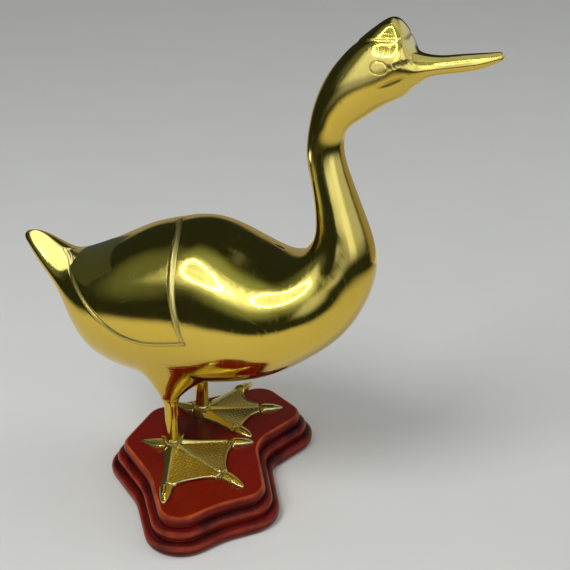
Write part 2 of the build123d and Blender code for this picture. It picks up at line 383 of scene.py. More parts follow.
def piece(name, points, faces, material, node, normals=None, marks=None):
    """New piece from points in millimetres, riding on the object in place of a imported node."""
    mesh = new_mesh(name, points, faces)
    for mark, values in (marks or {}).items():
        set_mark(mesh, mark, values)
    mesh.shade_smooth()
    if normals is not None:
        mesh.normals_split_custom_set_from_vertices(normals.tolist())
    return placed(name, mesh, material, node)


def placed(name, mesh, material, node):
    """Object of a finished mesh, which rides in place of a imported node."""
    made = linked(name, mesh)
    mesh.materials.clear()
    mesh.materials.append(material)
    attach(made, BODY)
    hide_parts(node)
    return made


# Bird: one smooth form from tail to bill, carried by its stations
def bird_places(percents):
    """Points of the bird's mid-plane, from percents along and up."""
    percents = np.asarray(percents, float) / 100
    return np.array([tail_x, belly_z]) + percents * np.array([bird_length, bird_height])


station_back = bird_places(stations[:, 0:2])
station_belly = bird_places(stations[:, 2:4])
station_wide = stations[:, 4] / 100 * body_width / 2
station_run = run_along((station_back + station_belly) / 2)
section_at = spline_through(station_run, np.column_stack([station_back, station_belly, station_wide]))
bird_end = station_run[-1]


def bird_form(place, turn):
    """Points of the bird's form: place along its centre line, turn from the back round its right side."""
    section = section_at(place)
    back, belly, wide = section[..., 0:2], section[..., 2:4], section[..., 4]
    middle = belly + widest_share * (back - belly)
    rise = np.where(np.cos(turn)[..., None] > 0, back - middle, middle - belly)
    end = np.clip(np.minimum(place / tail_round, (bird_end - place) / bill_round), 0, 1)
    full = np.sqrt(1 - (1 - end) ** 2)
    flat = middle + rise * (full * np.cos(turn))[..., None]
    return np.stack([flat[..., 0], -wide * full * np.sin(turn), flat[..., 1]], -1)


def joint_place(turn):
    """Place along the bird where each turn crosses the plane of the neck joint."""
    back, front = bird_places([neck_joint_back, neck_joint_front])
    up = (back - front) / np.linalg.norm(back - front)
    halvings = 40
    low = np.full_like(turn, station_run[before_joint])
    high = np.full_like(turn, station_run[after_joint])
    for _ in range(halvings):
        middle = (low + high) / 2
        point = bird_form(middle, turn)
        ahead = (point[..., 0] - front[0]) * up[1] - (point[..., 2] - front[1]) * up[0] > 0
        low, high = np.where(ahead, low, middle), np.where(ahead, middle, high)
    return (low + high) / 2


def grid_normals(points):
    """Outward normals of a closed grid of points, rows from the tail and columns round the bird."""
    along = np.gradient(points, axis=0)
    around = np.roll(points, -1, axis=1) - np.roll(points, 1, axis=1)
    normals = unit(np.cross(around, along))
    normals[0] = (-1, 0, 0)
    normals[-1] = (1, 0, 0)
    return normals


# Rows and columns of the bird's grid
columns = 480
body_rows = 300
neck_rows = 130
head_rows = 150
bill_rows = 60
end_rows = 10
neck_skip = 2
turns = np.linspace(0, 2 * math.pi, columns, endpoint=False)
cut = joint_place(turns)
ease = 1 - np.cos(np.linspace(0, math.pi / 2, end_rows, endpoint=False))
tail_part = ease[:, None] * tail_round + 0 * cut
body_part = tail_round + (cut - tail_round) * np.linspace(0, 1, body_rows, endpoint=False)[:, None]
neck_part = cut + (station_run[throat] - cut) * np.linspace(0, 1, neck_rows, endpoint=False)[:, None]
head_part = np.linspace(station_run[throat], station_run[bill_root], head_rows, endpoint=False)
bill_part = np.linspace(station_run[bill_root], bird_end - bill_round, bill_rows, endpoint=False)
tip_part = bird_end - bill_round * ease[::-1]
joint_row = end_rows + body_rows
rest = np.concatenate([head_part, bill_part, [bird_end - bill_round], tip_part])
places = np.concatenate([tail_part, body_part, neck_part, rest[:, None] + 0 * cut])
skin = bird_form(places, turns + 0 * places)
skin_normals = grid_normals(skin)


def on_skin(line):
    """Moves points of a line onto the bird's form."""
    flat_skin = skin.reshape(-1, 3)
    flat_normals = skin_normals.reshape(-1, 3)
    for i, point in enumerate(line):
        nearest = np.argmin(((flat_skin - point) ** 2).sum(-1))
        line[i] -= ((point - flat_skin[nearest]) @ flat_normals[nearest]) * flat_normals[nearest]
    return line


class SkinLine:
    """A line drawn on the bird's form, alike on both sides, and how near each point of it is."""

    count = 160
    far_away = 1e3

    def __init__(self, points, reach, both_sides=True):
        line = on_skin(smooth_line(points, self.count))
        ahead = unit(np.gradient(line, axis=0))
        half = skin.copy()
        if both_sides:
            half[..., 1] = -np.abs(half[..., 1])
        inside = ((half > line.min(0) - reach) & (half < line.max(0) + reach)).all(-1)
        chosen = half[inside]
        nearest = np.array([np.argmin(((line - point) ** 2).sum(-1)) for point in chosen])
        gap = chosen - line[nearest]
        along = (gap * ahead[nearest]).sum(-1)
        along = np.where((nearest == 0) | (nearest == len(line) - 1), 0, along)
        away = np.sqrt(np.maximum((gap ** 2).sum(-1) - along ** 2, 0))
        self.away = np.full(skin.shape[:2], self.far_away)
        self.share = np.zeros(skin.shape[:2])
        self.away[inside] = away
        self.share[inside] = nearest / (len(line) - 1)

    def along(self, values):
        """Value along the line, from evenly spaced ones."""
        return np.interp(self.share, np.linspace(0, 1, len(values)), values)

    def bead(self, half_wide, high):
        """Rounded ridge along the line."""
        return high * np.maximum(1 - (self.away / half_wide) ** 2, 0) ** 2

    def near(self, half_wide, offset=0.0):
        """How near each point is to the line, or to its rim at an offset: 1 there, fading both ways."""
        return np.exp(-((self.away - offset) / half_wide) ** 2)


lift = np.zeros(skin.shape[:2])
hollow_shade = np.zeros(skin.shape[:2])
dull = np.zeros(skin.shape[:2])

# The wings' edges are worn faint where they cross the ridge of the back to the left side
worn = np.interp(skin[..., 1], (0, 2, 14, 20), (1, 0.2, 0.2, 1))

# Grooved rim beside each raised edge
rim_deep, rim_soft = 0.12, 0.35

# Raised front edge of each wing, over the back
wing_front = SkinLine([
    (-0.5, 0, 152), (5.7, -12.6, 148.9), (8.2, -22.8, 143.6), (10.2, -30.3, 136.1), (11.4, -34.3, 129.8),
    (13.7, -38.1, 120.8), (16.5, -40.1, 111), (18.6, -40.2, 104), (19.9, -40.2, 100.8)], 6)
front_dark = 0.4
front_wide = wing_front.along([1.3, 1.6, 1.8, 1.9, 1.8, 1.5, 1.1])
front_high = wing_front.along([0.5, 0.75, 0.9, 0.9, 0.8, 0.6, 0.35])
lift += worn * wing_front.bead(front_wide, front_high)
front_rim = worn * wing_front.near(rim_soft, front_wide)
lift -= rim_deep * front_rim
# Painted shade along the groove beside the edge
hollow_shade += front_dark * front_rim
dull += worn * np.clip(1.3 - wing_front.away / front_wide, 0, 1) ** 0.5

# Thin lower edge of each wing, from the tail's root to the foot of the front edge
wing_lower = SkinLine([
    (-71, 0, 121), (-62.5, -9.6, 120.1), (-55.6, -19.5, 116.7), (-45.8, -28.7, 110.8),
    (-35.5, -34.7, 105), (-26.5, -37.4, 100.4), (-18.4, -38.6, 97.4), (-2.2, -39.6, 95.9),
    (14, -40.2, 99.2), (20, -40.2, 100.4)], 6)
lower_wide, lower_rim_at, lower_dark = 1.05, 1.15, 0.45
lower_high = wing_lower.along([0.5, 0.6, 0.6, 0.6, 0.55, 0.5, 0.45, 0.4, 0.3])
lift += worn * wing_lower.bead(lower_wide, lower_high)
lower_rim = worn * wing_lower.near(rim_soft, lower_rim_at)
lift -= rim_deep * lower_rim
# Painted shade along the groove beside the lower edge
hollow_shade += lower_dark * lower_rim
dull += 0.8 * worn * np.clip(1.3 - wing_lower.away / lower_wide, 0, 1) ** 0.5

# Line round the crown: the head steps down below the cap
crown_line = [
    (94.5, 0, 253.6), (97.8, -4.2, 254.5), (105.6, -8.4, 257.1), (113, -9.9, 258.4), (118.1, -7.1, 258.2),
    (119.4, 0, 256.8)]
crown_step, crown_soft, crown_reach = 0.42, 0.9, 2.6
crown_dark, crown_dark_wide, crown_dark_at = 0.55, 0.6, 0.3
crown = SkinLine(crown_line, 7)
crown_x, _, crown_z = zip(*crown_line)
below_crown = np.clip((np.interp(skin[..., 0], crown_x, crown_z) - skin[..., 2]) / crown_soft, 0, 1)
lift -= crown_step * below_crown * crown.near(crown_reach)
# Painted shade along the step below the cap
hollow_shade += crown_dark * crown.near(crown_dark_wide, crown_dark_at) * below_crown

# Engraved almond eye, nearly flat within its line
eye_x, eye_z, eye_long, eye_high = 109.0, 245.0, 8.0, 5.8
eye_line, eye_deep, eye_swell, eye_dark = 0.32, 0.2, 0.05, 0.6
eye_reach = np.hypot((skin[..., 0] - eye_x) / (eye_long / 2), (skin[..., 2] - eye_z) / (eye_high / 2))
eye_ring = np.exp(-((eye_reach - 1) * eye_high / 2 / eye_line) ** 2)
eye_dome = np.maximum(1 - eye_reach ** 2, 0)
lift += eye_swell * eye_dome - eye_deep * eye_ring
# Painted shade in the engraved line of the eye
hollow_shade += eye_dark * eye_ring

# Crease along the cheek to the root of the bill
cheek = SkinLine([(108, -12.6, 235.6), (112, -12.3, 237.2), (116.5, -11.3, 239.4), (121.5, -9.7, 242)], 6)
cheek_wide, cheek_deep, cheek_dark = 1.1, 0.4, 0.5
cheek_near = cheek.near(cheek_wide) * cheek.along([0, 0.7, 1, 0.8, 0])
lift -= cheek_deep * cheek_near
# Painted shade in the crease
hollow_shade += cheek_dark * cheek_near

# Soft fold from the side of the neck round to the shoulder
fold = SkinLine([
    (88.6, -13.7, 166.4), (91.8, -14.8, 160.2), (94.1, -15.5, 155.2), (94.9, -16.5, 150), (93.6, -18, 145),
    (90.3, -19.5, 141.3), (85.8, -20.7, 139.1)], 12)
fold_wide, fold_deep = 3.2, 0.45
lift -= fold_deep * fold.near(fold_wide) * fold.along([0, 0.4, 0.8, 1, 1, 0.8, 0])

# Joint that stands open at the root of the neck
joint_gap = SkinLine([(49.9, 8.5, 140.7), (52.4, 8.3, 140.1), (57.6, 4.8, 140.1)], 4, both_sides=False)
gap_wide, gap_deep, gap_dark = 0.55, 0.35, 0.9
joint_near = joint_gap.near(gap_wide) * joint_gap.along([0, 1, 1, 0])
lift -= gap_deep * joint_near
# Painted shade in the open joint
hollow_shade += gap_dark * joint_near

# Pits of the casting before the right eye
pit_count, pit_deep, pit_spread, pit_dark = 46, 0.24, 0.5, 1.1
pit_least, pit_most = 0.35, 0.75
pit_start = np.array([113.6, -13.0, 245.6])
pit_run = np.array([9.0, 3.6, 3.6])
rng = np.random.default_rng(5)
for _ in range(pit_count):
    share = rng.uniform(0, 1)
    pit_at = pit_start + share * pit_run + rng.normal(0, pit_spread, 3)
    pit_wide = rng.uniform(pit_least, pit_most)
    pit = np.exp(-((skin - pit_at) ** 2).sum(-1) / pit_wide ** 2)
    lift -= pit_deep * pit
    # Painted shade in each pit
    hollow_shade += pit_dark * pit

# Nearly flat side of the head above the eye, on a wide sphere
facet_at = np.array([110.0, -10.9, 252.6])
facet_way = unit(np.array([-0.04, -0.88, 0.47]))
facet_round, facet_reach, facet_soft = 60.0, 13.0, 0.3
right_side = skin * np.where(skin[..., 1:2] > 0, (1, -1, 1), 1)
proud = np.linalg.norm(right_side - facet_at + facet_round * facet_way, axis=-1) - facet_round
facet_near = np.exp(-(np.linalg.norm(right_side - facet_at, axis=-1) / facet_reach) ** 4)
lift -= facet_soft * np.logaddexp(0, proud / facet_soft) * facet_near

points = skin + skin_normals * lift[..., None]

# Thighs: the belly draws down to the foot of the leg
thigh_rim = 5.2
thigh_front, thigh_behind, thigh_side = 24.0, 19.0, 17.0
downward_gain = 4
from_leg = points[..., 0]
aside = np.abs(points[..., 1]) - abs(leg_y)
reach_x = np.where(from_leg > 0, thigh_front, thigh_behind)
radius = np.hypot(from_leg, aside)
tiny = 1e-6
spread = np.hypot(from_leg / reach_x, aside / thigh_side) / np.maximum(radius, tiny)
outer = 1 / np.maximum(spread, tiny)
fall = np.clip((outer - radius) / (outer - thigh_rim), 0, 1) ** 2
below = np.clip(-skin_normals[..., 2] * downward_gain, 0, 1)
points[..., 2] += (thigh_z - points[..., 2]) * fall * below
point_normals = grid_normals(points)
hollow_shade = np.clip(hollow_shade, 0, 1)
dull = np.clip(dull, 0, 1)


def grid_faces(rows, count, wrap):
    """Faces of a grid of points, row by row; wrap joins the last column to the first."""
    index = np.arange(rows * count).reshape(rows, count)
    if wrap:
        index = np.column_stack([index, index[:, 0]])
    corners = index[:-1, :-1], index[:-1, 1:], index[1:, 1:], index[1:, :-1]
    return np.stack(corners, -1).reshape(-1, 4).tolist()


def body_casting(name, node, first_column):
    """Closed half of the body: skin, mid-plane and the face of the neck joint, ending in the tail's tip."""
    pick = np.arange(first_column, first_column + columns // 2 + 1) % columns
    rows = np.arange(1, joint_row + 1)
    count = len(pick)
    block = np.ix_(rows, pick)
    tip = len(rows) * count
    faces = grid_faces(len(rows), count, False)
    faces += [(tip, j + 1, j) for j in range(count - 1)]
    starts = np.arange(len(rows)) * count
    faces += [(a, b, b + count - 1, a + count - 1) for a, b in zip(starts, starts[1:])]
    faces.append((tip, 0, count - 1))
    faces.append(range(starts[-1], starts[-1] + count))
    shape = np.vstack([points[block].reshape(-1, 3), points[0, 0]])
    normals = np.vstack([point_normals[block].reshape(-1, 3), point_normals[0, 0]])
    marks = {"hollow_shade": np.append(hollow_shade[block], 0), "dull": np.append(dull[block], 0)}
    return piece(name, shape, faces, brass, node, normals, marks)


def neck_casting():
    """Closed neck, head and bill, from the face of the neck joint to the tip of the bill."""
    block = np.ix_(np.arange(joint_row, len(points) - 1), np.arange(0, columns, neck_skip))
    count = columns // neck_skip
    rows = len(points) - 1 - joint_row
    tip = rows * count
    faces = grid_faces(rows, count, True)
    faces += [(tip - count + j, tip - count + (j + 1) % count, tip) for j in range(count)]
    faces.append(range(count - 1, -1, -1))
    shape = np.vstack([points[block].reshape(-1, 3), points[-1, 0]])
    normals = np.vstack([point_normals[block].reshape(-1, 3), point_normals[-1, 0]])
    marks = {"hollow_shade": np.append(hollow_shade[block], 0), "dull": np.append(dull[block], 0)}
    return piece("neck_casting", shape, faces, brass, "neck_and_head", normals, marks)


body_casting("right_casting", "body_right_half", 0)
body_casting("left_casting", "body_left_half", columns // 2)
neck_casting()


def lathe(rows, centre, steps, wobble=None):
    """Closed turned solid about a vertical axis, from rows of radius and height that end on the axis."""
    turn = np.linspace(0, 2 * math.pi, steps, endpoint=False)
    rows = np.array(rows, float)
    height = rows[1:-1, 1:2] + 0 * turn
    radius = rows[1:-1, 0:1] + (wobble(height, turn) if wobble else 0)
    ring = np.stack([centre[0] + radius * np.cos(turn), centre[1] + radius * np.sin(turn), height], -1)
    low, high = height.size, height.size + 1
    shape = np.vstack([ring.reshape(-1, 3), (*centre, rows[0, 1]), (*centre, rows[-1, 1])])
    following = np.roll(np.arange(steps), -1)
    faces = grid_faces(len(ring), steps, True)
    faces += [(low, following[j], j) for j in range(steps)]
    faces += [(high, low - steps + j, low - steps + following[j]) for j in range(steps)]
    return shape, faces


def bare_object(name, shape, faces):
    """Loose mesh object, its faces turned outwards, for use by a modifier."""
    mesh = new_mesh(name, shape, faces)
    work = bmesh.new()
    work.from_mesh(mesh)
    bmesh.ops.recalc_face_normals(work, faces=work.faces)
    work.to_mesh(mesh)
    work.free()
    return linked(name, mesh)


def finished_mesh(made):
    """Mesh of an object with its modifiers applied; the object goes."""
    mesh = bpy.data.meshes.new_from_object(made.evaluated_get(bpy.context.evaluated_depsgraph_get()))
    bpy.data.objects.remove(made)
    return mesh


def combined(first, others, operation):
    """Mesh of closed solids joined to the first, or cut from it."""
    for other in others:
        step = first.modifiers.new(other.name, "BOOLEAN")
        step.operation = operation
        step.solver = "MANIFOLD"
        step.object = other
    mesh = finished_mesh(first)
    for other in others:
        bpy.data.objects.remove(other)
    return mesh


def read_all(items, name, size, kind):
    """Array of one property of all of a mesh's points, normals or edges."""
    values = np.zeros(len(items) * size, kind)
    items.foreach_get(name, values)
    return values.reshape(-1, size)


def mark_wear_and_shade(mesh, sharp, passes):
    """Marks ridges, for wear, and hollows, for painted shade, of a mesh; sharp is the bend, per millimetre,
    that counts as one.
    """
    count = len(mesh.vertices)
    place = read_all(mesh.vertices, "co", 3, np.float32) / MM
    normal = read_all(mesh.vertex_normals, "vector", 3, np.float32)
    start, end = read_all(mesh.edges, "vertices", 2, np.int32).T
    gap = place[end] - place[start]
    length = np.maximum((gap ** 2).sum(-1), 1e-4)
    met = np.maximum(np.bincount(start, minlength=count) + np.bincount(end, minlength=count), 1)

    def gathered(to_start, to_end):
        return np.bincount(start, to_start, count) + np.bincount(end, to_end, count)

    bend = gathered((gap * normal[start]).sum(-1) / length, -(gap * normal[end]).sum(-1) / length) / met
    bend = np.clip(bend / sharp, -1.5, 1.5)
    for _ in range(passes):
        bend = 0.5 * bend + 0.5 * gathered(bend[end], bend[start]) / met
    set_mark(mesh, "hollow_shade", np.clip(bend, 0, 1))
    set_mark(mesh, "ridge", np.clip(-bend, 0, 1))


# Legs: rods with a stud below the shoulder and an uneven collar of braze under the thigh
stud_low, leg_top = leg_low[2], leg_high[2]
stud_radius = 2.5
stud_chamfer, shoulder_chamfer = 0.4, 0.2
braze_high, braze_thick, braze_lap = 3.4, 1.1, 0.5
slow_lumps, fast_lumps = 0.4, 0.25


def braze(height, turn):
    """Swelling of the braze under the thigh, uneven round the rod."""
    near = np.exp(-(np.maximum(thigh_z + braze_lap - height, 0) / braze_high) ** 2)
    lumps = 1 + slow_lumps * np.sin(2 * turn + 0.6) + fast_lumps * np.sin(5 * turn + height)
    return near * braze_thick * lumps


def rod_leg(name, node, y):
    """Leg rod with its stud."""
    steps, around = 70, 48
    rows = [(0, stud_low), (stud_radius - stud_chamfer, stud_low), (stud_radius, stud_low + stud_chamfer)]
    rows += [(stud_radius, shoulder_z), (leg_radius - shoulder_chamfer, shoulder_z)]
    rows += [(leg_radius, height) for height in np.linspace(shoulder_z + shoulder_chamfer, leg_top, steps)]
    rows += [(0, leg_top)]
    shape, faces = lathe(rows, (0, y), around, braze)
    made = piece(name, shape, faces, brass, node)
    made.data.set_sharp_from_angle(angle=math.radians(45))


rod_leg("right_rod", "right_leg", leg_y)
rod_leg("left_rod", "left_leg", -leg_y)

# Feet: toes as heading, in degrees left of straight ahead, and reach
outer_toe, middle_toe, inner_toe, rear_toe = 51.0, 55.0, 45.0, 20.0
left_share = 0.86
right_toes = [(-69, outer_toe), (-21, middle_toe), (28, inner_toe)]
left_toes = [(-19, left_share * inner_toe), (28, left_share * middle_toe), (72, left_share * outer_toe)]
right_rear, left_rear = -177, 170
dip_share = 0.64
outline_count = 430
brick_high, brick_long, brick_deep = 1.5, 2.7, 0.13
slit_high, edge_thick = 0.9, 0.35
edge_round, edge_round_deep = 0.7, 0.6

# Claws: the share of the toe where they start, their bend across, and the groove at the root
claw_root, claw_bend = 0.70, 0.13
claw_groove_deep, claw_groove_long, claw_groove_wide = 0.6, 1.1, 2.6

# Widest reach of a claw and a toe from the crest, and how much a claw's last corner belongs to the web
claw_aside, toe_aside = 6, 9
claw_web = 0.3

# Edges of a toe in the outline: share of its reach, distance aside
claw_edge = [(0.99, 0.9), (0.95, 1.9), (0.89, 2.7), (0.82, 3.2), (0.76, 3.5)]
free_edge = [(0.68, 3.2), (0.56, 3.0), (0.45, 3.1), (0.3, 3.6), (0.2, 4.2), (0.12, 4.4)]

# Crest of a toe: shares of its reach, and heights there
crest_shares = [0, 0.12, 0.35, 0.55, 0.66, 0.7, 0.77, 0.88, 1]
crest_heights = [6.0, 4.9, 3.9, 3.4, 3.2, 2.9, 3.5, 2.9, 1.1]
flank_slope, free_slope = 1.05, 0.62
crest_round = 0.2

# Web between the toes: height at the ankle, fall along it, sag and where that sets in, and its raised rim
web_high, web_fall, web_sag = 3.4, 0.030, 1.0
sag_from, sag_to = 4, 26
web_rim, web_rim_at, web_rim_wide = 0.55, 0.6, 0.55
bricks_from, bricks_to, bricks_clear = 1.3, 2.2, 0.5

# Ear of the ankle: reach, half width, lowest and highest point. Ankle: radius and height.
ear_rows = [(3.4, 1.3, 3.6, 6.4), (5.2, 0.9, 5.2, 7.6), (6.4, 0.15, 7.6, 8.4)]
ankle_rows = [(0, 0), (5.5, 0), (5.5, 1.2), (5.1, 3.0), (4.95, 4.8), (4.7, 6.2), (4.2, 6.9), (0, 7.0)]
ear_headings = (202, 40)

# Height that stands for no surface
absent = -9.0


def crest_at(share):
    """Height of a toe's crest at a share of its reach."""
    return np.interp(share, crest_shares, crest_heights)


def heading_way(heading):
    """Level direction of a heading, and the one to its left."""
    ahead = np.array([math.cos(math.radians(heading)), math.sin(math.radians(heading))])
    return ahead, np.array([-ahead[1], ahead[0]])


def soft_step(value, low, high):
    """Smooth step of numbers, 0 at low and 1 at high."""
    share = np.clip((value - low) / (high - low), 0, 1)
    return share * share * (3 - 2 * share)


def foot_outline(toes):
    """Outline of the front of a foot, from side to side of the ankle, and where it is the web's edge."""
    def side_of(heading, reach, rows, side):
        ahead, left = heading_way(heading)
        return [share * reach * ahead + side * aside * left for share, aside in rows]

    line, web = side_of(*toes[0], free_edge[::-1], -1), [0] * len(free_edge)
    for i, (heading, reach) in enumerate(toes):
        line += side_of(heading, reach, claw_edge[::-1], -1)
        line += side_of(heading, reach, [(1, 0)], 0)
        line += side_of(heading, reach, claw_edge, 1)
        web += [0] * (2 * len(claw_edge) + 1)
        if i + 1 < len(toes):
            next_heading, next_reach = toes[i + 1]
            dip = dip_share * (reach + next_reach) / 2
            line.append(dip * heading_way((heading + next_heading) / 2)[0])
            web[-1] = claw_web
            web.append(1)
    line += side_of(*toes[-1], free_edge, 1)
    web += [0] * len(free_edge)
    line = np.array(line)
    run = run_along(line)
    even = np.linspace(0, run[-1], outline_count)
    return spline_through(run, line)(even), np.interp(even, run, web)


def web_and_toes(ankle, toes):
    """Closed front of a foot: scalloped web with a raised rim, ridged toes and broad claws, cast as one."""
    rows, first_share = 130, 0.05
    edge, web_edge = foot_outline(toes)
    out = np.linspace(first_share, 1, rows)[:, None]
    flat = out[..., None] * edge
    radius = np.linalg.norm(flat, axis=-1)
    turn = np.degrees(np.unwrap(np.arctan2(edge[:, 1], edge[:, 0]))) + 0 * out
    nearest = np.array([np.sqrt(((edge - point) ** 2).sum(-1).min()) for point in flat.reshape(-1, 2)])
    to_edge = nearest.reshape(radius.shape)
    headings = [heading for heading, reach in toes]
    sector = np.interp(turn, headings, range(len(toes)))
    between = (turn > headings[0]) & (turn < headings[-1])
    pair_sum = np.where(turn < headings[1], headings[0] + headings[1], headings[1] + headings[2])
    middle = np.radians(pair_sum / 2)

    # Web: sagging between the toes, patterned like brickwork
    sag = web_sag * np.abs(np.sin(math.pi * sector)) * soft_step(radius, sag_from, sag_to)
    web = web_high - web_fall * radius - sag
    ahead = flat[..., 0] * np.cos(middle) + flat[..., 1] * np.sin(middle)
    aside = flat[..., 1] * np.cos(middle) - flat[..., 0] * np.sin(middle)
    course = np.floor(ahead / brick_high)
    across = np.abs(np.sin(math.pi * ahead / brick_high))
    bricks = np.minimum(across, np.abs(np.sin(math.pi * (aside / brick_long + 0.5 * course)))) ** 0.5
    web = np.where(between, web, absent)
    ridge = np.full_like(radius, absent)
    for heading, reach in toes:
        way, left = heading_way(heading)
        share = flat @ way / reach
        off = flat @ left
        claw = soft_step(share, claw_root - 0.01, claw_root + 0.06) * (np.abs(off) < claw_aside)
        crest = crest_at(share)
        free = (turn < headings[0]) | (turn > headings[-1])
        tent = crest - np.where(free, free_slope, flank_slope) * np.hypot(off, crest_round)
        nail = crest - claw_bend * off ** 2
        shape = tent + (nail - tent) * claw
        from_root = (share - claw_root) * reach / claw_groove_long
        shape = shape - claw_groove_deep * np.exp(-from_root ** 2 - (off / claw_groove_wide) ** 2)
        ridge = np.maximum(ridge, np.where(np.abs(off) < toe_aside, shape, absent))
        web = web + absent * claw
    high = np.maximum(web, ridge)
    bare = np.clip((web - ridge) / bricks_clear, 0, 1) * soft_step(to_edge, bricks_from, bricks_to)
    rim = web_rim * np.exp(-((to_edge - web_rim_at) / web_rim_wide) ** 2) * web_edge
    rounding = edge_round_deep * np.clip(1 - to_edge / edge_round, 0, 1) ** 2
    under = slit_high * np.clip(web_edge, 0, 1)
    pattern = brick_deep * (2 * bricks - 1) * bare
    high = np.maximum(high + pattern + rim - rounding, under + edge_thick)

    # Shell: top, outer and inner edges, sides and underside
    count = len(edge)
    top = np.concatenate([ankle + flat, base_top + high[..., None]], -1).reshape(-1, 3)
    inner = np.column_stack([ankle + flat[0], np.full(count, base_top)])
    outer = np.column_stack([ankle + flat[-1], base_top + under])
    a, b, size = rows * count, rows * count + count, (rows - 1) * count
    faces = grid_faces(rows, count, False)
    for j in range(count - 1):
        faces += [(size + j, size + j + 1, b + j + 1, b + j), (j + 1, j, a + j, a + j + 1)]
        faces.append((a + j, b + j, b + j + 1, a + j + 1))
    for column in (0, count - 1):
        faces.append([row * count + column for row in range(rows)] + [b + column, a + column])
    return bare_object("web", np.vstack([top, inner, outer]), faces)


def rear_leaf(ankle, heading):
    """Closed leaf-shaped rear toe with a middle ridge, raised rims and ribs by the ankle."""
    count, around = 70, 41
    tip_wide, leaf_wide, tip_high, root_rise = 0.5, 4.3, 1.0, 3.4
    rib_deep, rib_pitch = 0.18, 1.7
    spine_high, spine_wide = 0.7, 0.16
    rim_high, rim_at, rim_wide = 0.6, 0.88, 0.14
    share = np.linspace(0, 1, count)[:, None]
    side = np.linspace(1, -1, around)
    wide = tip_wide + leaf_wide * np.sin(math.pi * share ** 0.75) * (1 - 0.25 * share)
    ribs = rib_deep * np.cos(2 * math.pi * share * rear_toe / rib_pitch) * np.clip(1 - share * 1.8, 0, 1)
    spine = spine_high * np.exp(-(side / spine_wide) ** 2)
    rims = rim_high * np.exp(-((np.abs(side) - rim_at) / rim_wide) ** 2)
    high = tip_high + root_rise * (1 - share) ** 1.2 * (1 - 0.35 * side ** 2)
    high = high + (spine + rims) * (1 - 0.6 * share) + ribs
    high = high * np.sqrt(np.clip(1 - side ** 6, 0, 1)) * np.clip((1 - share) / 0.08, 0.25, 1)
    ahead, left = heading_way(heading)
    flat = ankle + (share * rear_toe)[..., None] * ahead + (wide * side)[..., None] * left
    shape = np.concatenate([flat, base_top + high[..., None]], -1).reshape(-1, 3)
    faces = grid_faces(count, around, True)
    faces += [range(around), range(count * around - 1, (count - 1) * around - 1, -1)]
    return bare_object("leaf", shape, faces)


def ankle_ear(ankle, heading):
    """Small pointed ear standing out from the ankle."""
    ahead, left = heading_way(heading)
    shape = []
    for reach, wide, low, high in ear_rows:
        for sign, height in ((1, low), (1, high), (-1, high), (-1, low)):
            shape.append((*(ankle + reach * ahead + sign * wide * left), base_top + height))
    last = len(shape) - 1
    faces = grid_faces(len(ear_rows), 4, True) + [range(4), range(last, last - 4, -1)]
    return bare_object("ear", shape, faces)


def tree_start(name, shape, size_names, result):
    """New geometry tree with a shape and named sizes: the tree, its wires and the sizes' identifiers."""
    group = bpy.data.node_groups.new(name, "GeometryNodeTree")
    group.interface.new_socket(shape, in_out="INPUT", socket_type="NodeSocketGeometry")
    sizes = {}
    for size in size_names:
        socket = group.interface.new_socket(size, in_out="INPUT", socket_type="NodeSocketFloat")
        sizes[size] = socket.identifier
    group.interface.new_socket(result, in_out="OUTPUT", socket_type="NodeSocketGeometry")
    make = Tree(group)
    source = group.nodes.new("NodeGroupInput")
    given = {socket.name: Wire(make, socket) for socket in source.outputs if socket.name}
    return make, given, sizes


def tree_end(make, shape, material):
    """Ends a geometry tree: instances made real, with their material."""
    real = make.node("GeometryNodeRealizeInstances", inputs={0: shape})
    real = make.node("GeometryNodeSetMaterial", inputs={"Geometry": real, "Material": material})
    made = make.tree.nodes.new("NodeGroupOutput")
    make.tree.links.new(real.socket, made.inputs[0])
    return make.tree


def scute_tree():
    """Nodes that set a row of small rounded scutes along a path, each of a slightly different size."""
    size_names = ("Pitch", "Scute length", "Scute width", "Scute height")
    make, given, sizes = tree_start("toe_scutes", "Path", size_names, "Scutes")
    line = make.node("GeometryNodeResampleCurve", {"mode": "LENGTH"}, {
        "Curve": given["Path"], "Length": given["Pitch"]})
    ball = make.node("GeometryNodeMeshUVSphere", inputs={"Segments": 8, "Rings": 6, "Radius": 0.5})
    shape = make.node("ShaderNodeCombineXYZ", inputs={
        "X": given["Scute width"], "Y": given["Scute height"], "Z": given["Scute length"]})
    ball = make.node("GeometryNodeTransform", inputs={"Geometry": ball, "Scale": shape})
    way = make.node("GeometryNodeInputTangent")
    turned = make.node("FunctionNodeAlignRotationToVector", {"axis": "Z"}, {"Vector": way})
    turned = make.node("FunctionNodeAlignRotationToVector", {"axis": "Y", "pivot_axis": "Z"}, {
        "Rotation": turned, "Vector": (0, 0, 1)})
    size = make.node("FunctionNodeRandomValue", inputs={2: 0.8, 3: 1.15, "Seed": 4}, out=1)
    set_out = make.node("GeometryNodeInstanceOnPoints", inputs={
        "Points": line, "Instance": ball, "Rotation": turned, "Scale": size})
    return tree_end(make, set_out, foot_brass), sizes


def path_object(name, line, closed=False):
    """Curve object through points in millimetres, with straight runs."""
    curve = bpy.data.curves.new(name, "CURVE")
    curve.dimensions = "3D"
    spline = curve.splines.new("POLY")
    spline.points.add(len(line) - 1)
    for point, place in zip(spline.points, line):
        point.co = (*(np.asarray(place) * MM), 1)
    spline.use_cyclic_u = closed
    return linked(name, curve)


scutes, scute_sizes = scute_tree()


